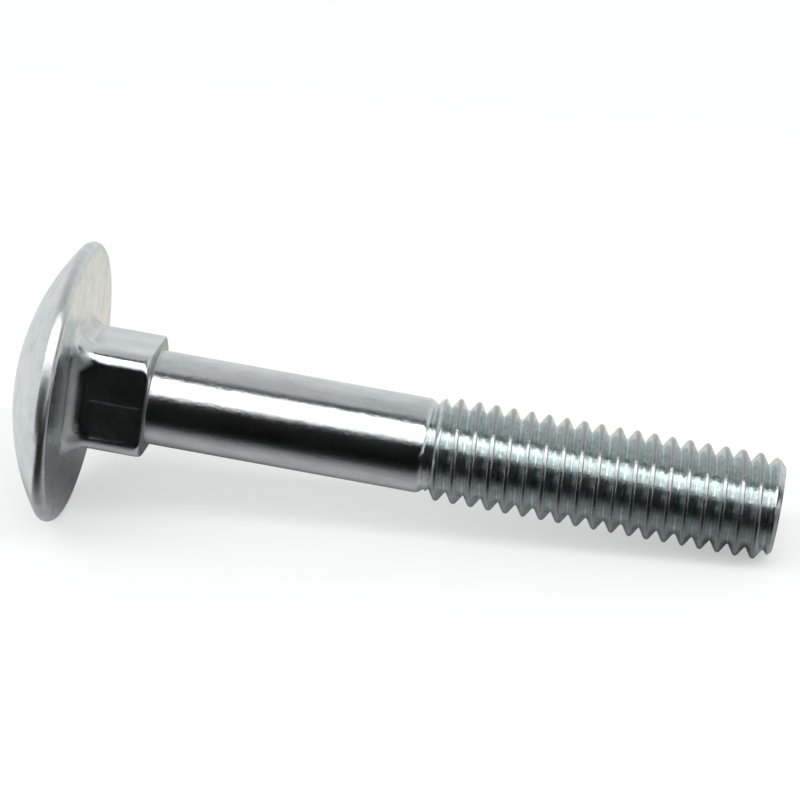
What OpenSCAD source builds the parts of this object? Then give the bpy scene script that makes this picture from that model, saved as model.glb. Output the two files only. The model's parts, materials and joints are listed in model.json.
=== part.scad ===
// Carriage bolt: a mushroom head, a square neck under it, a plain shank and a rolled right-hand thread, in one piece.
// It lies as it comes to rest on a table: on the rim of its head and on the last full crest of its thread.
// The bolt is drawn along its own axis, with the head's flat underside at height 0, the dome below it and the
// shank above it, and is then laid down with the head towards -X and the tip towards +X.

/* [Head] */

// Diameter of the mushroom head
head_d = 16.1; // [15.4:0.05:16.6]

// Height of the head, from its flat underside to the top of the dome
head_h = 3.4; // [3.1:0.05:3.9]

// Rounding radius of the head's rim
rim_r = 0.45; // [0.3:0.05:0.8]

/* [Square neck] */

// Width across the flats of the square neck
neck_w = 6; // [5.8:0.02:6.4]

// Length of the square neck under the head
neck_len = 4.4; // [3.8:0.1:4.8]

// Rounding radius of the neck's four long corners
neck_corner_r = 1; // [0.6:0.05:1.2]

// Rounding radius of the corners at the neck's lower end
neck_end_r = 0.5; // [0.35:0.05:0.7]

// Fillet radius between the neck and the underside of the head
root_r = 1; // [0.6:0.05:1.2]

/* [Shank] */

// Length of the bolt under its head
bolt_len = 40; // [32:1:50]

// Diameter of the plain shank, as it was before the thread was rolled
shank_d = 5.38; // [5.3:0.02:5.5]

// Length of the bevel at the end of the plain shank
shank_bevel = 0.4; // [0.3:0.05:0.6]

/* [Thread] */

// Outer diameter of the thread
thread_d = 5.92; // [5.8:0.02:6]

// Diameter at the bottom of the thread's groove
thread_root_d = 4.78; // [4.6:0.02:4.9]

// Distance between neighbouring crests
thread_pitch = 1; // [0.9:0.05:1.2]

// Width of the crown on top of each crest
crest_w = 0.22; // [0.16:0.02:0.3]

// Height of the crown in the middle of each crest
crest_crown = 0.03; // [0.01:0.01:0.06]

// Width at the bottom of the thread's groove
groove_w = 0.08; // [0.04:0.02:0.16]

// Length of the thread, from the end of the shank's bevel to the tip
thread_len = 19.7; // [15:0.1:23]

// Length over which the first crests rise to their full height
runout_len = 0.7; // [0.5:0.1:2]

// Length of the rounding at the tip
tip_len = 0.8; // [0.5:0.1:1.2]

// Diameter of the flat end of the tip
tip_d = 4.84; // [4.4:0.02:5]

// Turn of the thread about the axis, from a crest on the side that the bolt lies on
thread_turn = 45; // [0:5:355]

/* [Lie] */

// Angle by which the square neck has rolled about the axis from having a side level
neck_roll = -10.4; // [-45:0.2:45]

/* [Hidden] */

// Exact curves are wanted from circles and spheres
$fn = 96;

// A little extra, to run a solid into its neighbour
overlap = 0.3;

// The dome's sphere meets the rim's rounding smoothly
rim_at = head_d / 2 - rim_r;
dome_r = (pow(rim_at, 2) + pow(head_h - rim_r, 2) - pow(rim_r, 2)) / (2 * (head_h - 2 * rim_r));
dome_z = dome_r - head_h;
dome_angle = atan2(rim_at, dome_z + rim_r);

// The neck's corners and the shank behind them
corner_at = neck_w / 2 - neck_corner_r;
neck_reach = corner_at * sqrt(2) + neck_corner_r;
shank_r = shank_d / 2;
thread_z = bolt_len - thread_len;

// The thread's crests and groove. Each turn has five lines: the middle of the crest, both edges of the groove and
// both edges of the crest's crown
crest_r = thread_d / 2;
crown_r = crest_r - crest_crown;
groove_r = thread_root_d / 2;
line_at = [0, crest_w / 2, thread_pitch / 2 - groove_w / 2, thread_pitch / 2 + groove_w / 2,
           thread_pitch - crest_w / 2];
line_r = [crest_r, crown_r, groove_r, groove_r, crown_r];
lines = len(line_at);

// The thread starts at a thin waist that stands inside the end of the shank
waist_r = groove_r + 0.01;
waist_z = thread_z - overlap;
crest_z0 = thread_turn / 360 * thread_pitch;
first_turn = floor((thread_z - crest_z0) / thread_pitch) - 2;
turns = ceil(thread_len / thread_pitch) + 3;
last_line = turns * lines;

// Sides in each turn of the thread, fewer where the thread has many turns
sides = 4 * min(12, floor(11500 / (8 * lines * turns)));

// The bolt lies on its head's rim and on the last crest before the tip's rounding
rest_z = crest_z0 + thread_pitch * floor((bolt_len - tip_len - crest_z0) / thread_pitch);
rest_span = sqrt(pow(rest_z + rim_r, 2) + pow(rim_at - crest_r, 2));
lie_angle = atan2(rim_at - crest_r, rest_z + rim_r) + asin(rim_r / rest_span);
axis_height = rim_at * cos(lie_angle) + rim_r * (1 - sin(lie_angle));
back_x = dome_z * cos(lie_angle) - dome_r;
front_x = bolt_len * cos(lie_angle) + tip_d / 2 * sin(lie_angle);
middle_x = (back_x + front_x) / 2;

zinc_colour = [0.78, 0.81, 0.83];

// Half section of the head: a slice of the dome's circle, the rim's circle and the flat between them
module head_section() {
    far = 2 * dome_r;
    difference() {
        union() {
            intersection() {
                translate([0, dome_z]) circle(r = dome_r);
                polygon([[0, dome_z], [far * sin(dome_angle), dome_z - far * cos(dome_angle)], [0, dome_z - far]]);
            }
            translate([rim_at, -rim_r]) circle(r = rim_r);
            polygon([[0, -rim_r], [rim_at, -rim_r], [rim_at, 0], [0, 0]]);
        }
        translate([-far, 0]) square([2 * far, far]);
    }
}

module head() {
    rotate_extrude() head_section();
}

// Outline of the neck: a square with round corners, grown all round by extra
module neck_outline(extra = 0) {
    r = neck_corner_r + extra;
    side = 2 * corner_at;
    square([side + 2 * r, side], center = true);
    square([side, side + 2 * r], center = true);
    for (x = [-1, 1], y = [-1, 1]) translate([x * corner_at, y * corner_at]) circle(r = r);
}

// Envelope of the neck, whose lower end is rounded off at the four corners
module neck_envelope() {
    wide = neck_reach + overlap;
    rotate_extrude() {
        translate([0, -overlap]) square([wide, overlap + neck_len - neck_end_r]);
        translate([0, -overlap]) square([neck_reach - neck_end_r, overlap + neck_len]);
        translate([neck_reach - neck_end_r, neck_len - neck_end_r]) circle(r = neck_end_r);
    }
}

// Section of the fillet, beside a wall that stands at 0 and on an underside at 0
module fillet_section() {
    difference() {
        translate([-overlap, -overlap]) square(root_r + overlap);
        translate([root_r, root_r]) circle(r = root_r);
    }
}

// Fillet round the foot of the neck: four straight runs and a quarter turn at each corner
module root_fillet() {
    for (quarter = [0:3]) rotate([0, 0, 90 * quarter]) {
        translate([neck_w / 2, corner_at, 0]) rotate([90, 0, 0])
            linear_extrude(height = 2 * corner_at) fillet_section();
        translate([corner_at, corner_at, 0])
            rotate_extrude(angle = 90) translate([neck_corner_r, 0]) fillet_section();
    }
}

module neck() {
    intersection() {
        translate([0, 0, -overlap]) linear_extrude(height = neck_len + overlap) neck_outline();
        neck_envelope();
    }
    root_fillet();
}

// Plain shank, with the bevel that runs into the first groove of the thread
module shank() {
    translate([0, 0, -overlap]) cylinder(r = shank_r, h = thread_z - shank_bevel + overlap);
    translate([0, 0, thread_z - shank_bevel]) cylinder(r1 = shank_r, r2 = waist_r + 0.02, h = shank_bevel);
}

// Height of one line of the thread at one side of the turn
function line_z(side, line) =
    crest_z0 + thread_pitch * (first_turn + floor(line / lines) + side / sides) + line_at[line % lines];

// Largest radius that the run-out and the rounded tip allow at a height
function rising_r(z) =
    waist_r + (crest_r - waist_r) * sin(90 * min(1, max(0, (z - thread_z) / runout_len)));
function ending_r(z) =
    tip_d / 2 + (crest_r - tip_d / 2) * cos(90 * min(1, max(0, (z - bolt_len + tip_len) / tip_len)));

// First and last line that stand within the thread on one side of the turn
function first_line(side) = max([for (line = [0:last_line]) if (line_z(side, line) <= thread_z) line]);
function end_line(side) = min([for (line = [0:last_line]) if (line_z(side, line) >= bolt_len) line]);

// Radius of the thread where a line crosses the plane of the tip or stands free
function cut_r(side, line) =
    let (z0 = line_z(side, line - 1), z1 = line_z(side, line),
         r0 = line_r[(line - 1) % lines], r1 = line_r[line % lines])
    r0 + (r1 - r0) * (min(z1, bolt_len) - z0) / (z1 - z0);

function thread_point(side, line) =
    let (z = min(bolt_len, max(thread_z, line_z(side, line))),
         r = z == thread_z ? waist_r : min(cut_r(side, line), rising_r(z), ending_r(z)),
         turn = 360 * side / sides)
    [r * cos(turn), r * sin(turn), z];

// Thread as one closed surface, whose lines follow the helix from the waist to the tip
module thread() {
    firsts = [for (side = [0:sides - 1]) first_line(side)];
    ends = [for (side = [0:sides - 1]) end_line(side)];
    row = last_line + 1;
    waist = sides * row;
    function clip(side, line) = side * row + min(ends[side], max(firsts[side], line));
    function place(side, line) = side < sides ? clip(side, line) : clip(0, line + lines);
    points = concat(
        [for (side = [0:sides - 1], line = [0:last_line])
            thread_point(side, min(ends[side], max(firsts[side], line)))],
        [for (side = [0:sides - 1]) [waist_r * cos(360 * side / sides), waist_r * sin(360 * side / sides), waist_z]],
        [[0, 0, waist_z], [0, 0, bolt_len]]);
    foot = waist + sides;
    tip = foot + 1;
    corners = [for (side = [0:sides - 1], line = [0:last_line - 1])
        let (a = place(side, line), b = place(side, line + 1), c = place(side + 1, line + 1), d = place(side + 1, line))
        each [if (a != b && b != c) [a, b, c], if (a != d && d != c) [a, c, d]]];
    skirt = [for (side = [0:sides - 1])
        let (next = (side + 1) % sides, a = clip(side, 0), b = side + 1 < sides ? clip(next, 0) : clip(0, 0))
        each [[waist + side, a, b], [waist + side, b, waist + next], [foot, waist + side, waist + next]]];
    lid = [for (side = [0:sides - 1]) [clip((side + 1) % sides, last_line), clip(side, last_line), tip]];
    polyhedron(points = points, faces = concat(corners, skirt, lid), convexity = 10);
}

module carriage_bolt() {
    color(zinc_colour)
        translate([-middle_x, 0, axis_height]) rotate([0, 90 + lie_angle, 0]) {
            head();
            rotate([0, 0, neck_roll]) neck();
            shank();
            thread();
        }
}

carriage_bolt();
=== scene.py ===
"""Carriage bolt: the looks of a zinc-plated bolt with a mushroom head and a square neck, on a pale table."""

import json
import math

import bpy
import numpy as np
from mathutils import Matrix, Vector


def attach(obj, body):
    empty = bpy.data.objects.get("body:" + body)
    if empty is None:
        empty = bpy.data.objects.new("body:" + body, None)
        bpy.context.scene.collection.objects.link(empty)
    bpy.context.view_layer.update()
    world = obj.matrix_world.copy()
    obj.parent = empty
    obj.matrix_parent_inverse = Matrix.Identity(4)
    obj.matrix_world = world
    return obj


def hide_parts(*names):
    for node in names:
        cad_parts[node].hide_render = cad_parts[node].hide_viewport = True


bl_info = {
    "name": "Carriage bolt",
    "version": (1, 0, 0),
    "blender": (4, 5, 0),
    "location": "View3D > Sidebar > Bolt",
    "description": "Builds a zinc-plated carriage bolt and a small photo stage around it",
    "category": "Object",
}

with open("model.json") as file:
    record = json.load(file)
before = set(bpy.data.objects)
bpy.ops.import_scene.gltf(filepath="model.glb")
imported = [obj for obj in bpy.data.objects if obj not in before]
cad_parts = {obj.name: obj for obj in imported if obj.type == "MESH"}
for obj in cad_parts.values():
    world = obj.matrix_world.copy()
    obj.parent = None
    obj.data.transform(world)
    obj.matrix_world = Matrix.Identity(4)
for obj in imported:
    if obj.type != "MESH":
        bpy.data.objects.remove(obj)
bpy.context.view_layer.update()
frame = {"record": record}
NODE = "carriage_bolt"
BODY = "root"
MM = 0.001
MOUNTS = {mount["name"]: mount for mount in frame["record"]["mounts"]}
SHANK_R = MOUNTS["shank"]["dims"]["r_mm"] * MM


# The bolt's own directions, read from its mounts

def bolt_axes():
    """Middle of the head's underside, the axis towards the tip, and the side that the bolt lies on."""
    along = Vector(MOUNTS["shank"]["axis"]).normalized()
    on_axis = Vector(MOUNTS["shank"]["pos_m"])
    on_face = Vector(MOUNTS["bearing_face"]["pos_m"])
    under_head = on_axis + along * (on_face - on_axis).dot(along)
    down = Vector((0, 1, 0)).cross(along)
    return under_head, along, down


# Sizes, finish and stage, as a user would change them

def length(name, text, size_mm):
    """A size, written in millimetres and kept in metres."""
    return bpy.props.FloatProperty(
        name=name, description=text, default=size_mm * MM, unit="LENGTH", precision=5, min=0)


def angle(name, text, degrees):
    """An angle, written in degrees."""
    return bpy.props.FloatProperty(
        name=name, description=text, default=math.radians(degrees), subtype="ANGLE")


def share(name, text, value, top=1.0):
    """A plain number from 0 to top."""
    return bpy.props.FloatProperty(
        name=name, description=text, default=value, min=0, max=top, subtype="FACTOR")


def colour(name, text, value):
    """A colour, as it is written."""
    return bpy.props.FloatVectorProperty(
        name=name, description=text, default=value, size=3, min=0, max=1, subtype="COLOR")


class BoltSizes(bpy.types.PropertyGroup):
    """Sizes of the bolt, measured along and across its own axis."""

    head_d: length("Head width", "Diameter of the mushroom head", 16.094)
    head_h: length("Head height", "From the flat underside to the top of the dome", 3.397)
    rim_r: length("Rim rounding", "Rounding radius of the head's rim", 0.45)
    neck_w: length("Neck width", "Width of the square neck across its flats", 6)
    neck_len: length("Neck length", "Length of the square neck", 4.4)
    neck_corner_r: length("Neck corner", "Rounding radius of the neck's long corners", 1.0)
    neck_end_r: length("Neck end", "Rounding radius of the corners at the neck's lower end", 0.5)
    neck_edge: length("Neck edge", "Small rounding at the foot of each flat", 0.1)
    neck_roll: angle("Neck roll", "Turn of the square about the axis", -10.4)
    root_r: length("Root fillet", "Fillet radius between neck and head", 1.0)
    root_flare: share("Root flare", "How much wider the fillet is at the neck's near upper corner", 1.0, 2)
    root_slope: share("Root slope", "How far the fillet flattens to a slope at the near corners", 0.25)
    root_far: share("Root far side", "How much smaller the fillet is on the far side", 0.35)
    bolt_len: length("Length", "Length of the bolt under its head", 40)
    shank_fillet: length("Shank fillet", "Fillet radius between the neck's end and the shank", 0.08)
    bevel_len: length("Bevel", "Length of the rounded bevel at the end of the plain shank", 0.5)
    thread_d: length("Thread width", "Outer diameter of the thread", 5.92)
    groove_d: length("Groove width", "Diameter at the bottom of the thread's groove", 4.78)
    pitch: length("Pitch", "Distance between neighbouring crests", 1.0)
    crest_w: length("Crest width", "Width of the crown on top of each crest", 0.22)
    crest_crown: length("Crest crown", "Height of the crown in the middle of each crest", 0.03)
    groove_w: length("Groove foot", "Width at the bottom of the thread's groove", 0.08)
    thread_len: length("Thread length", "From the end of the shank's bevel to the tip", 19.7)
    runout_len: length("Run-out", "Length over which the first crests rise", 0.7)
    tip_len: length("Tip rounding", "Length of the rounding at the tip", 0.8)
    tip_d: length("Tip width", "Diameter of the flat end", 4.84)
    tip_edge: length("Tip edge", "Small rounding round the flat end", 0.06)
    thread_turn: angle("Thread turn", "Turn of the thread about the axis", 45)
    crest_wear: length("Crest wear", "How much the crests' height wanders", 0.02)
    crest_drift: length("Crest drift", "How much the crests' width wanders", 0.03)


class ZincFinish(bpy.types.PropertyGroup):
    """Finish of the bright zinc plate. Each haze is roughness on top of the plate's own."""

    cool: colour("Cool zinc", "Colour of the clean plate where it looks blue", (0.725, 0.765, 0.77))
    warm: colour("Warm zinc", "Colour of the clean plate where it looks warm", (0.745, 0.755, 0.755))
    dull: colour("Dull zinc", "Colour of the duller patches", (0.60, 0.64, 0.64))
    groove_dark: colour("Dark groove", "Colour of the darker spots in the grooves", (0.53, 0.59, 0.59))
    groove_light: colour("Light groove", "Colour of the lighter spots in the grooves", (0.66, 0.71, 0.715))
    crest: colour("Crest", "Colour of the thread's worn crests", (0.43, 0.45, 0.445))
    gloss: share("Roughness", "Roughness of the clean plate", 0.13)
    haze: share("Haze", "Roughness of the duller patches", 0.22)
    head_haze: share("Head haze", "Haze of the head", 0.11)
    rim_haze: share("Rim haze", "Haze of the head's rim, on top of the head's", 0.03)
    fillet_haze: share("Fillet haze", "Haze of the fillet under the head", 0.30)
    crest_haze: share("Crest haze", "Haze of the thread's worn crests", 0.09)
    groove_haze: share("Groove haze", "Haze of the thread's grooves", 0.03)
    end_haze: share("Neck end haze", "Haze of the neck's lower end", 0.15)
    # Painted shade: a darker colour at the neck's lower end, which dims the lamp's highlight there
    end_painted_shade: colour("Neck end", "Colour of the rubbed edge at the neck's lower end", (0.34, 0.36, 0.36))
    mark_haze: share("Draw line haze", "Haze of the fine line on the neck's near flat", 0.13)
    grain: share("Grain", "Depth of the fine grain", 0.85)
    pits: share("Pits", "Depth of the shallow pits", 0.45)
    draw: share("Draw marks", "Depth of the marks along the shank", 0.12)
    wave: share("Wave", "Depth of the slow unevenness left by forming", 0.16)


class StudioStage(bpy.types.PropertyGroup):
    """Camera, lamp and cards. Edges are angles across the bolt, from square above the line of sight towards
    the camera. Left is the head's side and right the tip's, both counted from the bolt's middle."""

    azimuth: angle("Azimuth", "Direction of the view about the vertical", -8.13)
    elevation: angle("Elevation", "Height of the camera above the horizon", 26.6)
    focal_mm: bpy.props.FloatProperty(
        name="Focal length", description="Focal length in millimetres on a 36 mm frame", default=135, min=20)
    floor_colour: colour("Floor", "Colour of the table", (0.52, 0.52, 0.515))
    floor_glow: share("Floor glow", "What the table adds to its own colour in view", 0.43)
    world_tint: colour("Room", "Colour of the room around the stage", (0.83, 0.845, 0.855))
    box_high: angle("Soft box, high edge", "Edge of the bright half of the soft box, over the bolt", 43)
    box_middle: angle("Soft box, middle", "Where the bright half of the soft box ends", 60)
    box_low: angle("Soft box, low edge", "Edge of the mild half of the soft box, next to the camera", 84.5)
    bright_light: share("Bright half", "Brightness of the bright half, where 1 is white", 3.0, 10)
    mild_light: share("Mild half", "Brightness of the mild half, where 1 is white", 1.0, 10)
    card_distance: length("Card distance", "From the bolt to the soft box and the flags", 500)
    box_left: length("Soft box, left", "Reach of the soft box on the head's side", 1600)
    box_right: length("Soft box, right", "Reach of the soft box on the tip's side", 550)
    flag_left: length("Flags, left", "Reach of the flags on the head's side", 1500)
    flag_right: length("Flags, right", "Reach of the flags on the tip's side", 650)
    gap_high: angle("Gap, high edge", "Far edge of the dark strip behind the soft box", 25)
    gap_grey: share("Gap grey", "Grey of the dark strip behind the soft box", 0.03)


# Shape of the bolt. Each point has a distance from the axis, a height from the head's underside towards the
# tip, and a turn about the axis from the side that the bolt lies on

def soft_min(a, b, blend):
    """The smaller of two values, with a round turn from one to the other."""
    part = np.clip(0.5 + 0.5 * (b - a) / blend, 0, 1)
    return b * (1 - part) + a * part - blend * part * (1 - part)


def soft_max(a, b, blend):
    """The larger of two values, with a round turn from one to the other."""
    return -soft_min(-a, -b, blend)


def steps(start, end, count):
    """Even steps from start to end, without the start itself."""
    return np.linspace(start, end, count + 1)[1:]


def bend(count):
    """Even steps round a quarter turn: how much is left outward, and how much is covered along the axis."""
    return [(1 - math.sin(rise), 1 - math.cos(rise)) for rise in steps(0, math.pi / 2, count)]


QUARTER_COLUMNS = 42
CORNER_SPREAD = 0.45
DOME_RINGS = 33
RIM_RINGS = 19
UNDERSIDE_RINGS = 6
FILLET_RINGS = 10
NECK_RINGS = 6
NECK_END_RINGS = 12
SHANK_FOOT_RINGS = 4
SHANK_RINGS = 8
FLARE_WIDTH = math.radians(16)
LOWER_FLARE = 0.25
NECK_END_BLEND = 0.06 * MM


def column_angles(roll):
    """Turns of the mesh's columns, close together at the neck's four corners."""
    step = np.arange(QUARTER_COLUMNS) / QUARTER_COLUMNS * 2 - 1
    quarter = math.pi / 4 * (1 + CORNER_SPREAD * step + (1 - CORNER_SPREAD) * step ** 3)
    return roll + np.concatenate([quarter + turn * math.pi / 2 for turn in range(4)])


def turn_from_flat(sizes, turn):
    """Turn from the middle of the neck's nearest flat, up to an eighth of a full turn at the corners."""
    return np.abs((turn - sizes.neck_roll + math.pi / 4) % (math.pi / 2) - math.pi / 4)


def square_radius(sizes, turn, grow):
    """Distance from the axis to the neck's square with round corners, grown all round."""
    fold = turn_from_flat(sizes, turn)
    half = sizes.neck_w / 2 + grow
    corner_at = sizes.neck_w / 2 - sizes.neck_corner_r
    round_r = sizes.neck_corner_r + grow
    on_flat = half / np.cos(fold)
    reach = corner_at * (np.cos(fold) + np.sin(fold))
    on_corner = reach + np.sqrt(np.maximum(reach ** 2 - 2 * corner_at ** 2 + round_r ** 2, 0))
    return np.where(on_flat * np.sin(fold) <= corner_at, on_flat, on_corner)


def head_rings(sizes):
    """Rings from near the top of the dome, round the rim, to the edge of the flat underside."""
    rim_at = sizes.head_d / 2 - sizes.rim_r
    height = sizes.head_h - sizes.rim_r
    dome_r = (rim_at ** 2 + height ** 2 - sizes.rim_r ** 2) / (2 * (sizes.head_h - 2 * sizes.rim_r))
    middle = dome_r - sizes.head_h
    edge = math.atan2(rim_at, middle + sizes.rim_r)
    rings = []
    for slope in steps(0, edge, DOME_RINGS):
        rings.append((dome_r * math.sin(slope), middle - dome_r * math.cos(slope)))
    for slope in steps(edge, math.pi, RIM_RINGS):
        rings.append((rim_at + sizes.rim_r * math.sin(slope), -sizes.rim_r - sizes.rim_r * math.cos(slope)))
    return rings


def root_fillet(sizes, turn):
    """Radius of the fillet round the foot of the neck, and how far it flattens to a slope."""
    far_side = 0.5 + 0.5 * np.sin(turn)
    from_corner = math.pi / 4 - turn_from_flat(sizes, turn)
    near_corner = np.exp(-(from_corner / FLARE_WIDTH) ** 2) * (1 - far_side)
    flare = near_corner * (LOWER_FLARE + (1 - LOWER_FLARE) * np.clip(-np.cos(turn), 0, 1))
    radius = sizes.root_r * (1 + sizes.root_flare * flare - sizes.root_far * far_side)
    return radius, sizes.root_slope * near_corner


def root_rings(sizes, turn):
    """Rings over the flat underside and the fillet at the foot of the neck."""
    fillet, slope = root_fillet(sizes, turn)
    rim_at = sizes.head_d / 2 - sizes.rim_r
    foot = square_radius(sizes, turn, fillet)
    rings = [(rim_at + (foot - rim_at) * part, 0) for part in steps(0, 1, UNDERSIDE_RINGS)]
    for (out, along), even in zip(bend(FILLET_RINGS), steps(0, 1, FILLET_RINGS)):
        out = (1 - slope) * out + slope * (1 - even)
        along = (1 - slope) * along + slope * even
        rings.append((square_radius(sizes, turn, fillet * out), fillet * along))
    return rings


def neck_rings(sizes, turn):
    """Rings over the square neck, its rounded lower end and the middle of its end face."""
    fillet, _ = root_fillet(sizes, turn)
    reach = (sizes.neck_w / 2 - sizes.neck_corner_r) * math.sqrt(2) + sizes.neck_corner_r
    round_z = sizes.neck_len - sizes.neck_end_r
    edge_z = sizes.neck_len - sizes.neck_edge
    wall = square_radius(sizes, turn, 0)
    rings = [(wall, fillet + (round_z - fillet) * part) for part in steps(0, 1, NECK_RINGS)]
    for left, covered in bend(NECK_END_RINGS):
        z = round_z + sizes.neck_end_r * (1 - left)
        envelope = reach - sizes.neck_end_r * covered
        past_edge = max(z - edge_z, 0)
        inset = sizes.neck_edge - math.sqrt(max(sizes.neck_edge ** 2 - past_edge ** 2, 0))
        rings.append((soft_min(square_radius(sizes, turn, -inset), envelope, NECK_END_BLEND), z))
    shank_foot = SHANK_R + sizes.shank_fillet
    rings.append(((rings[-1][0] + shank_foot) / 2, sizes.neck_len))
    return rings


def shank_rings(sizes):
    """Rings over the small fillet at the foot of the shank, and along the plain shank."""
    rings = [(SHANK_R + sizes.shank_fillet, sizes.neck_len)]
    for left, covered in bend(SHANK_FOOT_RINGS):
        rings.append((SHANK_R + sizes.shank_fillet * left, sizes.neck_len + sizes.shank_fillet * covered))
    foot_z = rings[-1][1]
    lead_z, _ = helix_ends(sizes)
    return rings + [(SHANK_R, foot_z + (lead_z - foot_z) * part) for part in steps(0, 1, SHANK_RINGS)]


# Thread. The lines of each turn are given as parts of the pitch from a crest to the next one, waves as pairs
# of pace and start, and the dish in the tip's end as pairs of part of the width and depth in millimetres

LINES_TO_GROOVE = (0, 0.035, 0.07, 0.10, 0.14, 0.20, 0.28, 0.36, 0.43, 0.47)
LINES_AT = (*LINES_TO_GROOVE, 0.5, *(1 - at for at in reversed(LINES_TO_GROOVE[1:])))
WAIST_MORE = 0.01 * MM
THREAD_LEAD = 1.2 * MM
SPARE_TURNS = 2
GROOVE_BLEND = 0.05 * MM
CREST_BLEND = 0.12 * MM
TIP_BLEND = 0.24 * MM
NO_BLEND = 0.001 * MM
WEAR_WAVES = ((1.9, 0.6), (0.83, 2.1))
DRIFT_WAVES = ((1.3, 1.7), (2.71, 0.4))
TIP_EDGE_BEND = 0.3
TIP_DISH = ((0.9, 0.0), (0.72, 0.02), (0.45, 0.05), (0.2, 0.07))
TIP_DISH_DEPTH = 0.075 * MM


def wander(waves, helix):
    """Two slow waves multiplied, each with its pace and its start, at a number of turns along the helix."""
    (pace, start), (other_pace, other_start) = waves
    return np.sin(pace * helix + start) * np.sin(other_pace * helix + other_start)


def thread_profile(sizes, turn, z):
    """Distance from the axis to a thread without ends: worn crests, flanks and grooves."""
    pitch = sizes.pitch
    crest_z = pitch * (sizes.thread_turn + turn) / (2 * math.pi)
    phase = ((z - crest_z) / pitch) % 1
    away = np.minimum(phase, 1 - phase) * pitch
    helix = (z - crest_z - phase * pitch) / pitch + turn / (2 * math.pi)
    crest_r = sizes.thread_d / 2 + sizes.crest_wear * (wander(WEAR_WAVES, helix) - 1) / 2
    groove_r = sizes.groove_d / 2
    crown_r = sizes.thread_d / 2 - sizes.crest_crown
    crown_half = sizes.crest_w / 2 + sizes.crest_drift * wander(DRIFT_WAVES, helix)
    slope = (crown_r - groove_r) / (pitch / 2 - sizes.groove_w / 2 - sizes.crest_w / 2)
    flank = crown_r + slope * (crown_half - away)
    return soft_min(crest_r, soft_max(groove_r, flank, GROOVE_BLEND), CREST_BLEND)


def thread_radius(sizes, turn, z):
    """Distance from the axis to the surface, from the shank's bevel over the run-out to the tip."""
    outer_r, tip_r = sizes.thread_d / 2, sizes.tip_d / 2
    waist_r = sizes.groove_d / 2 + WAIST_MORE
    start_z = sizes.bolt_len - sizes.thread_len
    bevel = np.clip((z - start_z + sizes.bevel_len) / sizes.bevel_len, 0, 1)
    plain = waist_r + (SHANK_R - waist_r) * np.cos(math.pi / 2 * bevel)
    rise = np.clip((z - start_z) / sizes.runout_len, 0, 1)
    rising = waist_r + (outer_r - waist_r) * np.sin(math.pi / 2 * rise)
    fall = np.clip((z - sizes.bolt_len + sizes.tip_len) / sizes.tip_len, 0, 1)
    ending = tip_r + (outer_r - tip_r) * np.cos(math.pi / 2 * fall)
    blend = np.where(fall > 0, TIP_BLEND, NO_BLEND)
    threaded = soft_min(np.minimum(thread_profile(sizes, turn, z), rising), ending, blend)
    return np.where(z > start_z, threaded, plain)


def helix_ends(sizes):
    """Heights between which the mesh follows the helix, on the plain shank and at the flat end's edge."""
    start_z = sizes.bolt_len - sizes.thread_len
    return start_z - sizes.bevel_len - THREAD_LEAD, sizes.bolt_len - sizes.tip_edge


def helix_grid(sizes, turn):
    """Heights of the thread's lines in each column, held between the two ends."""
    lead_z, end_z = helix_ends(sizes)
    base = sizes.pitch * (sizes.thread_turn + turn[0]) / (2 * math.pi)
    first = math.floor((lead_z - base) / sizes.pitch) - SPARE_TURNS
    last = math.ceil((end_z - base) / sizes.pitch) + SPARE_TURNS
    lines = np.add.outer(np.arange(first, last), LINES_AT).ravel()
    climbed = np.add.outer(lines, (turn - turn[0]) / (2 * math.pi))
    return np.clip(base + sizes.pitch * climbed, lead_z, end_z)


def tip_rings(sizes, turn):
    """Rings over the small rounding round the flat end and the shallow dish in it."""
    _, end_z = helix_ends(sizes)
    end_r = thread_radius(sizes, turn, end_z)
    edge, corner = sizes.tip_edge, sizes.tip_edge * TIP_EDGE_BEND
    rings = [(end_r - corner, sizes.bolt_len - corner), (end_r - edge, sizes.bolt_len)]
    for part, dish_mm in TIP_DISH:
        rings.append((sizes.tip_d / 2 * part, sizes.bolt_len - dish_mm * MM))
    return rings


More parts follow.
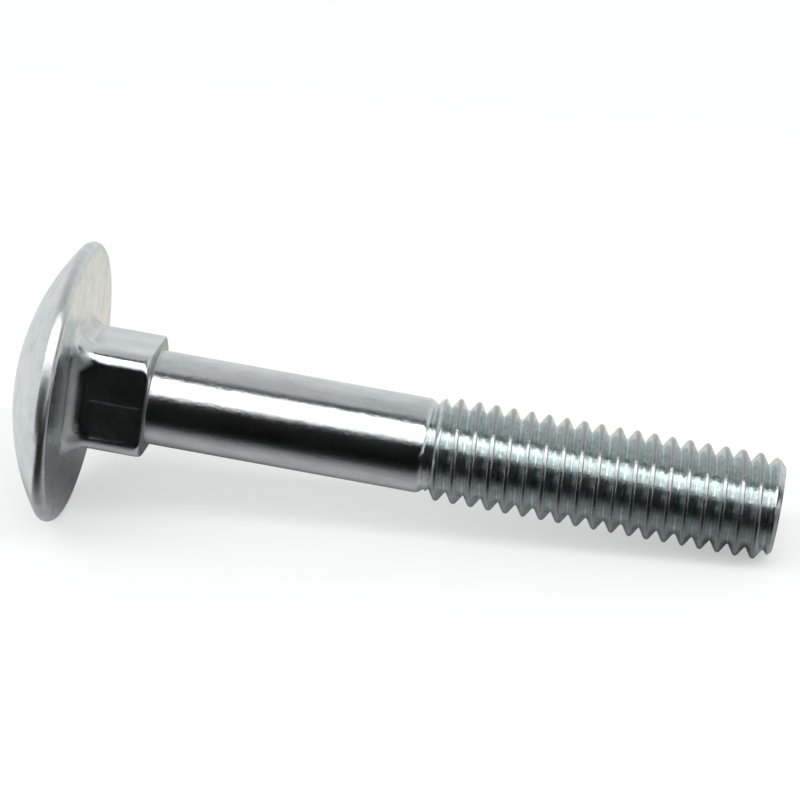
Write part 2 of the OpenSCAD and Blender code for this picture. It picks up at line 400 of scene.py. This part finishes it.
class Skin:
    """Points and outward faces of one closed surface about the bolt's axis, from the head to the tip."""

    def __init__(self, turn):
        self.turn = turn
        self.parts, self.faces = [], []
        self.size = 0

    def add_points(self, r, z, turn):
        """Adds one point for each turn, and returns their numbers."""
        self.parts.append([np.broadcast_to(value, len(turn)) for value in (r, z, turn)])
        self.size += len(turn)
        return np.arange(self.size - len(turn), self.size)

    def add_pole(self, z):
        """Adds one point on the axis, and returns its number."""
        return self.add_points(0, z, [0])[0]

    def add_rings(self, rings, last=None):
        """Adds rings, each joined to the one before it, and returns the last one."""
        for r, z in rings:
            ring = self.add_points(r, z, self.turn)
            if last is not None:
                self.add_faces(ring, last, np.roll(last, -1), np.roll(ring, -1))
            last = ring
        return last

    def add_thread(self, sizes, last):
        """Adds the thread after a plain ring. Its first column joins the last one a whole turn further on."""
        grid = helix_grid(sizes, self.turn)
        lead_z, end_z = helix_ends(sizes)
        number = np.empty(grid.shape, int)
        for column, turn in enumerate(self.turn):
            low = np.flatnonzero(grid[:, column] <= lead_z)[-1] + 1
            high = np.flatnonzero(grid[:, column] >= end_z)[0] + 1
            z = grid[low:high, column]
            turns = np.full(len(z), turn)
            number[:low, column] = last[column]
            number[low:high, column] = self.add_points(thread_radius(sizes, turns, z), z, turns)
            number[high:, column] = number[high - 1, column]
        lines = len(LINES_AT)
        ring = number[-1]
        beyond = np.append(number[lines:, 0], np.full(lines, ring[0]))
        number = np.column_stack([number, beyond])
        for column in range(len(self.turn)):
            here, beside = number[:, column], number[:, column + 1]
            self.add_faces(here[:-1], beside[:-1], beside[1:], here[1:])
        return ring

    def add_faces(self, *corners):
        """Adds a row of faces, corner by corner. Corners that meet are one, and an empty face is left out."""
        for face in np.stack(corners, axis=1).tolist():
            kept = [face[k] for k in range(len(face)) if face[k] != face[k - 1]]
            if len(kept) > 2 and len(set(kept)) == len(kept):
                self.faces.append(kept)

    def points(self):
        """Points in the part's frame, in metres."""
        under_head, along, down = bolt_axes()
        r, z, turn = np.concatenate(self.parts, axis=1)
        side = np.array(along.cross(down))
        across = np.cos(turn)[:, None] * np.array(down) + np.sin(turn)[:, None] * side
        return np.array(under_head) + z[:, None] * np.array(along) + r[:, None] * across


def bolt_skin(sizes):
    """The whole bolt as one closed surface."""
    skin = Skin(column_angles(sizes.neck_roll))
    turn = skin.turn
    top = skin.add_pole(-sizes.head_h)
    first, *others = head_rings(sizes)
    ring = skin.add_rings([first])
    skin.add_faces(np.full(len(ring), top), np.roll(ring, -1), ring)
    for rings in (others, root_rings(sizes, turn), neck_rings(sizes, turn), shank_rings(sizes)):
        ring = skin.add_rings(rings, ring)
    ring = skin.add_thread(sizes, ring)
    ring = skin.add_rings(tip_rings(sizes, turn), ring)
    end = skin.add_pole(sizes.bolt_len - TIP_DISH_DEPTH)
    skin.add_faces(ring, np.roll(ring, -1), np.full(len(ring), end))
    return skin


def bolt_mesh(sizes):
    """Mesh of the bolt, smooth all over."""
    skin = bolt_skin(sizes)
    mesh = bpy.data.meshes.new(NODE + "_plated")
    mesh.from_pydata(skin.points().tolist(), [], skin.faces)
    mesh.validate()
    mesh.polygons.foreach_set("use_smooth", [True] * len(mesh.polygons))
    mesh.update()
    return mesh


# Shader nodes, laid out in a row to the left of the shader

NODE_STEP = 180


def node(tree, kind, **values):
    """Adds a shader node and sets its inputs and settings by name."""
    made = tree.nodes.new(kind)
    made.location = (-NODE_STEP * len(tree.nodes), 0)
    for name, value in values.items():
        if name in made.inputs:
            made.inputs[name].default_value = value
        else:
            setattr(made, name, value)
    return made


def feed(tree, value, socket):
    """Gives a socket its value: a number, a colour as it is written, or what comes from another node."""
    if isinstance(value, bpy.types.NodeSocket):
        tree.links.new(value, socket)
    elif socket.type == "RGBA":
        socket.default_value = (*value, 1)
    else:
        socket.default_value = value


def worked(tree, operation, *values):
    """Result of a sum on one to three values."""
    made = node(tree, "ShaderNodeMath", operation=operation)
    for value, socket in zip(values, made.inputs):
        feed(tree, value, socket)
    return made.outputs["Value"]


def product(tree, first, *others):
    """Product of some values."""
    for value in others:
        first = worked(tree, "MULTIPLY", first, value)
    return first


def fade(tree, source, start, end, low=0.0, high=1.0):
    """A value that goes from low to high as the source goes from start to end."""
    ends = {"From Min": start, "From Max": end, "To Min": low, "To Max": high}
    made = node(tree, "ShaderNodeMapRange", **ends)
    feed(tree, source, made.inputs["Value"])
    return made.outputs["Result"]


def ramp(tree, source, stops):
    """Colour ramp from a value, with stops as pairs of place and grey or colour."""
    made = node(tree, "ShaderNodeValToRGB")
    points = made.color_ramp.elements
    while len(points) < len(stops):
        points.new(0.5)
    for point, (place, tone) in zip(points, stops):
        point.position = place
        point.color = (*tone, 1) if isinstance(tone, tuple) else (tone, tone, tone, 1)
    feed(tree, source, made.inputs["Fac"])
    return made.outputs["Color"]


def mixed(tree, factor, first, second, blend_type="MIX"):
    """One colour turning into another."""
    made = node(tree, "ShaderNodeMix", data_type="RGBA", blend_type=blend_type)
    for value, name in ((factor, "Factor"), (first, "A"), (second, "B")):
        feed(tree, value, made.inputs[name])
    return made.outputs["Result"]


def part_along(tree, place, axis):
    """How far a place lies along X, Y or Z."""
    parts = node(tree, "ShaderNodeSeparateXYZ")
    feed(tree, place, parts.inputs["Vector"])
    return parts.outputs[axis]


# Finish of the bolt, with its places in millimetres. Each noise has its scale in waves per millimetre

NOISES = {
    "patches": {"Scale": 0.9, "Detail": 6, "Roughness": 0.65},
    "tone": {"Scale": 0.25, "Detail": 2, "Roughness": 0.5},
    "grain": {"Scale": 5.5, "Detail": 4, "Roughness": 0.7},
    "pits": {"Scale": 2.6, "Detail": 3, "Roughness": 0.6},
    "drawn": {"Scale": 1.0, "Detail": 4, "Roughness": 0.6},
    "slow": {"Scale": 0.45, "Detail": 2, "Roughness": 0.5},
}
NOISE_STRETCH = {"patches": (0.4, 1.0, 1.0), "drawn": (0.15, 4.0, 4.0)}
WARM_SPAN = ((0.4, 0.0), (0.6, 1.0))
DULL_SPAN = ((0.4, 0.0), (0.66, 1.0))
SPOT_SPAN = ((0.4, 0.0), (0.6, 1.0))
GRAIN_SHARE = 0.5
SPECKLE_SPAN = (0.45, 1.05)
BUMP_MM = {"slow": 0.08, "streaks": 0.02, "pits": 0.02, "grain": 0.01}

# Where each finish starts to show, and where it shows in full. A name with FROM says what it is counted from,
# RIM_PARTS are rim roundings in from the head's edge, and the others count from the underside or the axis

THREAD_FROM_START = (-0.1, 0.15)
TOP_FROM_CREST = (-0.14, -0.04)
FLANK_FROM_CREST = -0.06
FOOT_FROM_GROOVE = 0.1
HEAD_ENDS = (1.0, -0.3)
RIM_PARTS = (1.5, 0.8)
FILLET_HOLLOW = (0.62, 0.35)
CORNER_HOLLOW = (1.2, 0.85)
CORNER_OUT = (3.55, 3.75)
FILLET_STARTS = (0.0, 0.14)
FILLET_OUT = (4.5, 3.9)
END_FROM_NECK = (-0.16, -0.06)
SHANK_FROM_NECK = (0.3, 0.1)
END_FROM_SHANK = (-0.01, 0.03)
DRAW_LINE_AT = -0.06
DRAW_LINE_HALF = 0.08
DRAW_LINE_SIDE = (-2.4, -2.6)
DRAW_LINE_STARTS = (1.0, 1.4)
DRAW_LINE_FROM_NECK = (-0.1, -0.4)


class Place:
    """Where a point of the surface is on the bolt, from the middle of the head's underside."""

    def __init__(self, tree):
        under_head, along, _ = bolt_axes()
        lie = math.atan2(-along.z, along.x)
        moved = node(tree, "ShaderNodeVectorMath", operation="SUBTRACT")
        moved.inputs[1].default_value = under_head
        feed(tree, node(tree, "ShaderNodeTexCoord").outputs["Object"], moved.inputs[0])
        turned = node(tree, "ShaderNodeMapping", Rotation=(0, -lie, 0), Scale=(1 / MM, 1 / MM, 1 / MM))
        feed(tree, moved.outputs["Vector"], turned.inputs["Vector"])
        parts = node(tree, "ShaderNodeSeparateXYZ")
        feed(tree, turned.outputs["Vector"], parts.inputs["Vector"])
        flat = node(tree, "ShaderNodeCombineXYZ")
        for axis in "YZ":
            feed(tree, parts.outputs[axis], flat.inputs[axis])
        distance = node(tree, "ShaderNodeVectorMath", operation="LENGTH")
        feed(tree, flat.outputs["Vector"], distance.inputs[0])
        self.tree = tree
        self.vector = turned.outputs["Vector"]
        self.along, self.sideways = parts.outputs["X"], parts.outputs["Y"]
        self.out = distance.outputs["Value"]

    def fade_along(self, ends, base=0.0):
        """A fade along the bolt, with its ends counted from a base."""
        return fade(self.tree, self.along, base + ends[0], base + ends[1])

    def fade_out(self, ends, base=0.0):
        """A fade outward from the axis, with its ends counted from a base."""
        return fade(self.tree, self.out, base + ends[0], base + ends[1])


def thread_marks(place, sizes):
    """Where the thread is, the tops of its crests, and its grooves."""
    crest_mm, groove_mm = sizes.thread_d / 2 / MM, sizes.groove_d / 2 / MM
    threaded = place.fade_along(THREAD_FROM_START, (sizes.bolt_len - sizes.thread_len) / MM)
    on_top = place.fade_out(TOP_FROM_CREST, crest_mm)
    in_groove = fade(place.tree, place.out, crest_mm + FLANK_FROM_CREST, groove_mm + FOOT_FROM_GROOVE)
    return {
        "threaded": threaded,
        "on_top": on_top,
        "crest": product(place.tree, on_top, threaded),
        "groove": product(place.tree, in_groove, threaded),
    }


def head_marks(place, sizes):
    """The head, all that isn't the head, and the head's rim."""
    head_mm, rim_mm = sizes.head_d / 2 / MM, sizes.rim_r / MM
    rim_ends = [head_mm - part * rim_mm for part in RIM_PARTS]
    return {
        "head": place.fade_along(HEAD_ENDS),
        "off_head": place.fade_along(HEAD_ENDS[::-1]),
        "rim": place.fade_out(rim_ends),
    }


def fillet_mark(place):
    """Hollow of the fillet under the head, which reaches further down at the neck's corners."""
    tree = place.tree
    corner = product(tree, place.fade_along(CORNER_HOLLOW), place.fade_out(CORNER_OUT))
    hollow = worked(tree, "MAXIMUM", corner, place.fade_along(FILLET_HOLLOW))
    return product(tree, hollow, place.fade_along(FILLET_STARTS), place.fade_out(FILLET_OUT))


def neck_end_mark(place, sizes):
    """Edge and end face of the square neck, where shade is painted and haze is added."""
    neck_mm = sizes.neck_len / MM
    return product(
        place.tree, place.fade_along(END_FROM_NECK, neck_mm), place.fade_along(SHANK_FROM_NECK, neck_mm),
        place.fade_out(END_FROM_SHANK, SHANK_R / MM))


def draw_line_mark(place, sizes):
    """Fine line along the middle of the neck's near flat."""
    tree = place.tree
    across = node(tree, "ShaderNodeVectorMath", operation="DOT_PRODUCT")
    across.inputs[1].default_value = (0, math.sin(sizes.neck_roll), -math.cos(sizes.neck_roll))
    feed(tree, place.vector, across.inputs[0])
    away = worked(tree, "ABSOLUTE", worked(tree, "SUBTRACT", across.outputs["Value"], DRAW_LINE_AT))
    return product(
        tree, fade(tree, away, DRAW_LINE_HALF, 0.0), fade(tree, place.sideways, *DRAW_LINE_SIDE),
        place.fade_along(DRAW_LINE_STARTS), place.fade_along(DRAW_LINE_FROM_NECK, sizes.neck_len / MM))


def plate_noises(place):
    """All noises of the plate, by name."""
    tree = place.tree
    noises = {}
    for name, values in NOISES.items():
        vector = place.vector
        if name in NOISE_STRETCH:
            stretched = node(tree, "ShaderNodeMapping", Scale=NOISE_STRETCH[name])
            feed(tree, vector, stretched.inputs["Vector"])
            vector = stretched.outputs["Vector"]
        made = node(tree, "ShaderNodeTexNoise", **values)
        feed(tree, vector, made.inputs["Vector"])
        noises[name] = made.outputs["Fac"]
    return noises


def plate_colour(tree, noises, marks, finish):
    """Cool and warm plate with duller patches, spotted grooves, worn crests and painted shade at the neck's
    lower end.
    """
    clean = mixed(tree, ramp(tree, noises["tone"], WARM_SPAN), finish.cool, finish.warm)
    patchy = mixed(tree, ramp(tree, noises["patches"], DULL_SPAN), clean, finish.dull)
    spotted = mixed(tree, ramp(tree, noises["pits"], SPOT_SPAN), finish.groove_dark, finish.groove_light)
    crested = mixed(tree, marks["on_top"], spotted, finish.crest)
    # Painted shade at the neck's lower end, dimming the lamp's highlight there
    shaded = mixed(tree, marks["neck_end"], patchy, finish.end_painted_shade)
    return mixed(tree, marks["threaded"], shaded, crested)


def plate_roughness(tree, noises, marks, finish):
    """Roughness of the plate, with the haze of each marked place on top."""
    speckle = worked(tree, "MULTIPLY_ADD", noises["grain"], GRAIN_SHARE, noises["patches"])
    rough = fade(tree, speckle, *SPECKLE_SPAN, finish.gloss, finish.haze)
    hazes = {
        "head": finish.head_haze, "rim": finish.rim_haze, "fillet": finish.fillet_haze,
        "neck_end": finish.end_haze, "draw_line": finish.mark_haze,
        "crest": finish.crest_haze, "groove": finish.groove_haze,
    }
    for name, haze in hazes.items():
        rough = worked(tree, "MULTIPLY_ADD", marks[name], haze, rough)
    return rough


def plate_relief(tree, noises, marks, finish):
    """Relief of the plate: slow unevenness, draw marks off the head, shallow pits and fine grain."""
    heights = {**noises, "streaks": product(tree, noises["drawn"], marks["off_head"])}
    strengths = {"slow": finish.wave, "streaks": finish.draw, "pits": finish.pits, "grain": finish.grain}
    normal = None
    for name, strength in strengths.items():
        bump = node(tree, "ShaderNodeBump", Strength=strength, Distance=BUMP_MM[name] * MM)
        feed(tree, heights[name], bump.inputs["Height"])
        if normal is not None:
            feed(tree, normal, bump.inputs["Normal"])
        normal = bump.outputs["Normal"]
    return normal


def zinc_plate(finish, sizes):
    """Bright zinc plate: clean on the shank, softer on the head, and duller down in the thread's grooves."""
    material = bpy.data.materials.new("bright_zinc_plate")
    material.use_nodes = True
    tree = material.node_tree
    shader = tree.nodes["Principled BSDF"]
    shader.inputs["Metallic"].default_value = 1.0
    place = Place(tree)
    noises = plate_noises(place)
    marks = {
        **thread_marks(place, sizes),
        **head_marks(place, sizes),
        "fillet": fillet_mark(place),
        "neck_end": neck_end_mark(place, sizes),
        "draw_line": draw_line_mark(place, sizes),
    }
    feed(tree, plate_colour(tree, noises, marks, finish), shader.inputs["Base Color"])
    feed(tree, plate_roughness(tree, noises, marks, finish), shader.inputs["Roughness"])
    feed(tree, plate_relief(tree, noises, marks, finish), shader.inputs["Normal"])
    return material


# Stage. Places of the table card and the tip flag are in millimetres, and other lengths in metres. The card's
# tones, with painted shade and shadow, are counted backward from a line that passes the head and the tip at
# TABLE_CARD_EDGE

TABLE_HALF = 3.0
CARD_LIFT = 0.05 * MM
# Painted shade and painted shadow seen in the bolt's gloss: grey under the bolt, darker again where its
# shadow falls behind it
PAINTED_SHADE_CARD_TONES = (
    (-10.0, 0.0), (-2.4, 0.01), (-0.5, 0.09), (1.0, 0.22), (1.8, 0.27), (3.1, 0.39), (4.6, 0.51),
    (6.5, 0.51), (8.7, 0.40), (12.0, 0.25), (17.0, (0.35, 0.345, 0.33)), (24.0, (0.60, 0.585, 0.53)),
    (29.0, (0.76, 0.74, 0.66)), (38.0, (0.74, 0.72, 0.655)), (50.0, (0.69, 0.67, 0.645)),
    (70.0, (0.67, 0.655, 0.635)))
TABLE_CARD_EDGE = (-8.6, -4.8)
TABLE_CARD_X = (-24, 60)
TABLE_CARD_Y = (-18, 120)
SIDE_CARD_GREY = (0.74, 0.74, 0.74)
TIP_FLAG_Y = (-240, 290)
BLACK = (0.0, 0.0, 0.0)
ROOM_TONES = ((0.0, 0.95), (0.35, 0.93), (0.52, 0.89), (0.64, 0.85), (0.77, 0.73), (0.88, 0.67), (1.0, 0.64))

HEAD_AT_PX = (79.11, 382.96)
HEAD_PX_PER_MM = 17.646
PICTURE_PX = 800
FILM_MM = 36
NEAR_CLIP = 0.01


def view_frame(stage):
    """Directions of the view: to the right, up and forward."""
    flat = math.cos(stage.elevation)
    forward = Vector(
        (math.sin(stage.azimuth) * flat, math.cos(stage.azimuth) * flat, -math.sin(stage.elevation)))
    right = forward.cross(Vector((0, 0, 1))).normalized()
    return right, right.cross(forward), forward


def across_frame(stage):
    """Directions across the bolt: square above the line of sight, and towards the camera."""
    _, along, _ = bolt_axes()
    _, up, _ = view_frame(stage)
    near = along.cross(up).normalized()
    return near.cross(along).normalized(), near


def bolt_middle(sizes):
    """Middle of the bolt's length, on its axis."""
    under_head, along, _ = bolt_axes()
    return under_head + along * sizes.bolt_len / 2


def matt(name, tone):
    """Matt material of one colour, for the stage."""
    material = bpy.data.materials.new(name)
    material.use_nodes = True
    shader = material.node_tree.nodes["Principled BSDF"]
    shader.inputs["Base Color"].default_value = (*tone, 1)
    shader.inputs["Roughness"].default_value = 1.0
    shader.inputs["Specular IOR Level"].default_value = 0.0
    return material


def flat_piece(name, corners, material):
    """A flat piece of the stage with straight sides."""
    mesh = bpy.data.meshes.new(name)
    mesh.from_pydata([tuple(corner) for corner in corners], [], [list(range(len(corners)))])
    mesh.materials.append(material)
    made = bpy.data.objects.new(name, mesh)
    bpy.context.scene.collection.objects.link(made)
    return made


def card(name, corners, material):
    """A flat card that is seen only in the bolt's gloss."""
    made = flat_piece(name, corners, material)
    made.visible_camera = False
    made.visible_diffuse = False
    made.visible_transmission = False
    made.visible_shadow = False
    return made


def table_material(stage):
    """Pale table, white in view and keeping the bolt's shadow."""
    material = matt("pale_table", stage.floor_colour)
    tree = material.node_tree
    shader = tree.nodes["Principled BSDF"]
    rays = node(tree, "ShaderNodeLightPath").outputs
    seen = worked(tree, "MAXIMUM", rays["Is Camera Ray"], rays["Is Glossy Ray"])
    clear = worked(tree, "MAXIMUM", seen, rays["Is Transmission Ray"])
    shader.inputs["Emission Color"].default_value = (1, 1, 1, 1)
    feed(tree, worked(tree, "MULTIPLY", clear, stage.floor_glow), shader.inputs["Emission Strength"])
    return material


def add_table(stage):
    """Plain pale table under the bolt."""
    half = TABLE_HALF
    corners = [(-half, -half, 0), (half, -half, 0), (half, half, 0), (-half, half, 0)]
    table = flat_piece("table_top", corners, table_material(stage))


def add_soft_box(stage, sizes, name, high, low, light):
    """Long soft lamp above the camera, whose two long edges lie along the bolt. A light of 1 looks white."""
    up, near = across_frame(stage)
    _, along, _ = bolt_axes()
    middle = bolt_middle(sizes)
    middle += (stage.box_right - stage.box_left) / 2 * along
    edges = [middle + stage.card_distance * (math.cos(a) * up + math.sin(a) * near) for a in (high, low)]
    lamp = bpy.data.lights.new(name, "AREA")
    lamp.shape = "RECTANGLE"
    lamp.size = stage.box_left + stage.box_right
    lamp.size_y = (edges[0] - edges[1]).length
    lamp.energy = light * math.pi * lamp.size * lamp.size_y
    made = bpy.data.objects.new(name, lamp)
    bpy.context.scene.collection.objects.link(made)
    centre = (edges[0] + edges[1]) / 2
    back = (centre - middle).normalized()
    across = (edges[0] - edges[1]).normalized()
    made.matrix_world = Matrix.Translation(centre) @ Matrix((along, across, back)).transposed().to_4x4()


def painted_shadow_card_material():
    """Matt card from black in front of the bolt to pale grey behind it, with painted shade and shadow under
    the bolt.
    """
    material = matt("painted_shadow_gradient", BLACK)
    tree = material.node_tree
    low, high = PAINTED_SHADE_CARD_TONES[0][0], PAINTED_SHADE_CARD_TONES[-1][0]
    behind = part_along(tree, node(tree, "ShaderNodeTexCoord").outputs["Object"], "Y")
    stops = [((at - low) / (high - low), tone) for at, tone in PAINTED_SHADE_CARD_TONES]
    # Tones across the card: black in front, painted shade under the bolt, a painted shadow behind it, pale
    # further back
    tone = ramp(tree, fade(tree, behind, low * MM, high * MM), stops)
    feed(tree, tone, tree.nodes["Principled BSDF"].inputs["Base Color"])
    return material


def add_flags(stage, sizes):
    """Dark strip behind the soft box, and black flags in front of the bolt and past its tip."""
    up, near = across_frame(stage)
    _, along, _ = bolt_axes()
    middle = bolt_middle(sizes)

    def ends(turn):
        """Both ends of a long edge, at one angle across the bolt."""
        line = middle + stage.card_distance * (math.cos(turn) * up + math.sin(turn) * near)
        return line - stage.flag_left * along, line + stage.flag_right * along

    strip = matt("dark_strip", (stage.gap_grey,) * 3)
    card("gap_flag", [*ends(stage.box_high), *reversed(ends(stage.gap_high))], strip)
    left, right = ends(stage.box_low)
    foot = -stage.card_distance
    card("front_flag", [(left.x, foot, 0), (right.x, foot, 0), right, left], matt("black_flag", BLACK))
    low, high = ((right.x, y * MM) for y in TIP_FLAG_Y)
    card("tip_flag", [(*low, 0), (*high, 0), (*high, right.z), (*low, right.z)], matt("side_flag", BLACK))


def add_table_cards(stage, sizes):
    """Graded card on the table, with its dark edge under the bolt and painted shade and shadow, and a pale
    card beyond the head.
    """
    under_head, along, _ = bolt_axes()
    tip = under_head + along * sizes.bolt_len
    edge_head, edge_tip = (edge * MM for edge in TABLE_CARD_EDGE)
    slant = math.atan2(edge_tip - edge_head, tip.x - under_head.x)
    at_x = (tip.x + under_head.x) / 2
    x0, x1, x2 = -stage.flag_left, TABLE_CARD_X[0] * MM - at_x, TABLE_CARD_X[1] * MM - at_x
    y0, y1, y2 = -stage.card_distance, TABLE_CARD_Y[0] * MM, TABLE_CARD_Y[1] * MM
    graded = [(x0, y0, 0), (x2, y0, 0), (x2, y2, 0), (x1, y2, 0), (x1, y1, 0), (x0, y1, 0)]
    pale = [(x0, y1, 0), (x1, y1, 0), (x1, y2, 0), (x0, y2, 0)]
    for made in (
        card("painted_shadow_card", graded, painted_shadow_card_material()),
        card("side_card", pale, matt("pale_card", SIDE_CARD_GREY)),
    ):
        made.location = (at_x, (edge_head + edge_tip) / 2, CARD_LIFT)
        made.rotation_euler = (0, 0, slant)


def add_room(stage):
    """Plain room around the stage, pale at the horizon and greyer overhead."""
    world = bpy.data.worlds.new("studio_room")
    world.use_nodes = True
    tree = world.node_tree
    height = part_along(tree, node(tree, "ShaderNodeTexCoord").outputs["Generated"], "Z")
    tinted = mixed(tree, 1.0, ramp(tree, height, ROOM_TONES), stage.world_tint, "MULTIPLY")
    feed(tree, tinted, tree.nodes["Background"].inputs["Color"])
    bpy.context.scene.world = world


def add_camera(stage):
    """Camera at the photograph's angle, with the bolt where the photograph has it."""
    data = bpy.data.cameras.new("view_camera")
    data.lens = stage.focal_mm
    data.sensor_width = FILM_MM
    data.clip_start = NEAR_CLIP
    made = bpy.data.objects.new("view_camera", data)
    bpy.context.scene.collection.objects.link(made)
    right, up, forward = view_frame(stage)
    under_head, _, _ = bolt_axes()
    focal_px = PICTURE_PX * stage.focal_mm / FILM_MM
    away = focal_px / HEAD_PX_PER_MM * MM
    to_right, to_down = ((px - PICTURE_PX / 2) / focal_px * away for px in HEAD_AT_PX)
    eye = under_head - to_right * right + to_down * up - away * forward
    made.matrix_world = Matrix.Translation(eye) @ Matrix((right, up, -forward)).transposed().to_4x4()
    bpy.context.scene.camera = made


# Operators and panel

class BOLT_OT_plated_bolt(bpy.types.Operator):
    """Builds the plated bolt in place of its plain solid"""

    bl_idname = "bolt.plated_bolt"
    bl_label = "Plated bolt"

    def execute(self, context):
        sizes = context.scene.bolt_sizes
        mesh = bolt_mesh(sizes)
        mesh.materials.append(zinc_plate(context.scene.bolt_finish, sizes))
        piece = bpy.data.objects.new("plated_bolt", mesh)
        context.scene.collection.objects.link(piece)
        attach(piece, BODY)
        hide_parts(NODE)
        return {"FINISHED"}


class BOLT_OT_stage(bpy.types.Operator):
    """Sets up the camera, the table, the room, the soft box, the flags and the cards"""

    bl_idname = "bolt.stage"
    bl_label = "Photo stage"

    def execute(self, context):
        stage, sizes = context.scene.bolt_stage, context.scene.bolt_sizes
        add_camera(stage)
        add_table(stage)
        add_room(stage)
        add_soft_box(stage, sizes, "soft_box_bright", stage.box_high, stage.box_middle, stage.bright_light)
        add_soft_box(stage, sizes, "soft_box_mild", stage.box_middle, stage.box_low, stage.mild_light)
        add_flags(stage, sizes)
        add_table_cards(stage, sizes)
        context.scene.view_settings.view_transform = "Standard"
        return {"FINISHED"}


class BOLT_PT_panel(bpy.types.Panel):
    """Sidebar panel with the bolt's operators and sizes"""

    bl_idname = "BOLT_PT_panel"
    bl_label = "Carriage bolt"
    bl_space_type = "VIEW_3D"
    bl_region_type = "UI"
    bl_category = "Bolt"

    def draw(self, context):
        layout = self.layout
        for operator in (BOLT_OT_plated_bolt, BOLT_OT_stage):
            layout.operator(operator.bl_idname)
        for group in (context.scene.bolt_sizes, context.scene.bolt_finish, context.scene.bolt_stage):
            box = layout.box()
            for name in group.__annotations__:
                box.prop(group, name)


CLASSES = (BoltSizes, ZincFinish, StudioStage, BOLT_OT_plated_bolt, BOLT_OT_stage, BOLT_PT_panel)


def register():
    """Registers the classes and hangs the settings on the scene."""
    for item in CLASSES:
        bpy.utils.register_class(item)
    bpy.types.Scene.bolt_sizes = bpy.props.PointerProperty(type=BoltSizes)
    bpy.types.Scene.bolt_finish = bpy.props.PointerProperty(type=ZincFinish)
    bpy.types.Scene.bolt_stage = bpy.props.PointerProperty(type=StudioStage)


def unregister():
    """Takes the settings and the classes away again."""
    del bpy.types.Scene.bolt_stage
    del bpy.types.Scene.bolt_finish
    del bpy.types.Scene.bolt_sizes
    for item in reversed(CLASSES):
        bpy.utils.unregister_class(item)


def main():
    """Builds the bolt and its stage."""
    register()
    bpy.ops.bolt.plated_bolt()
    bpy.ops.bolt.stage()


if __name__ == "__main__":
    main()
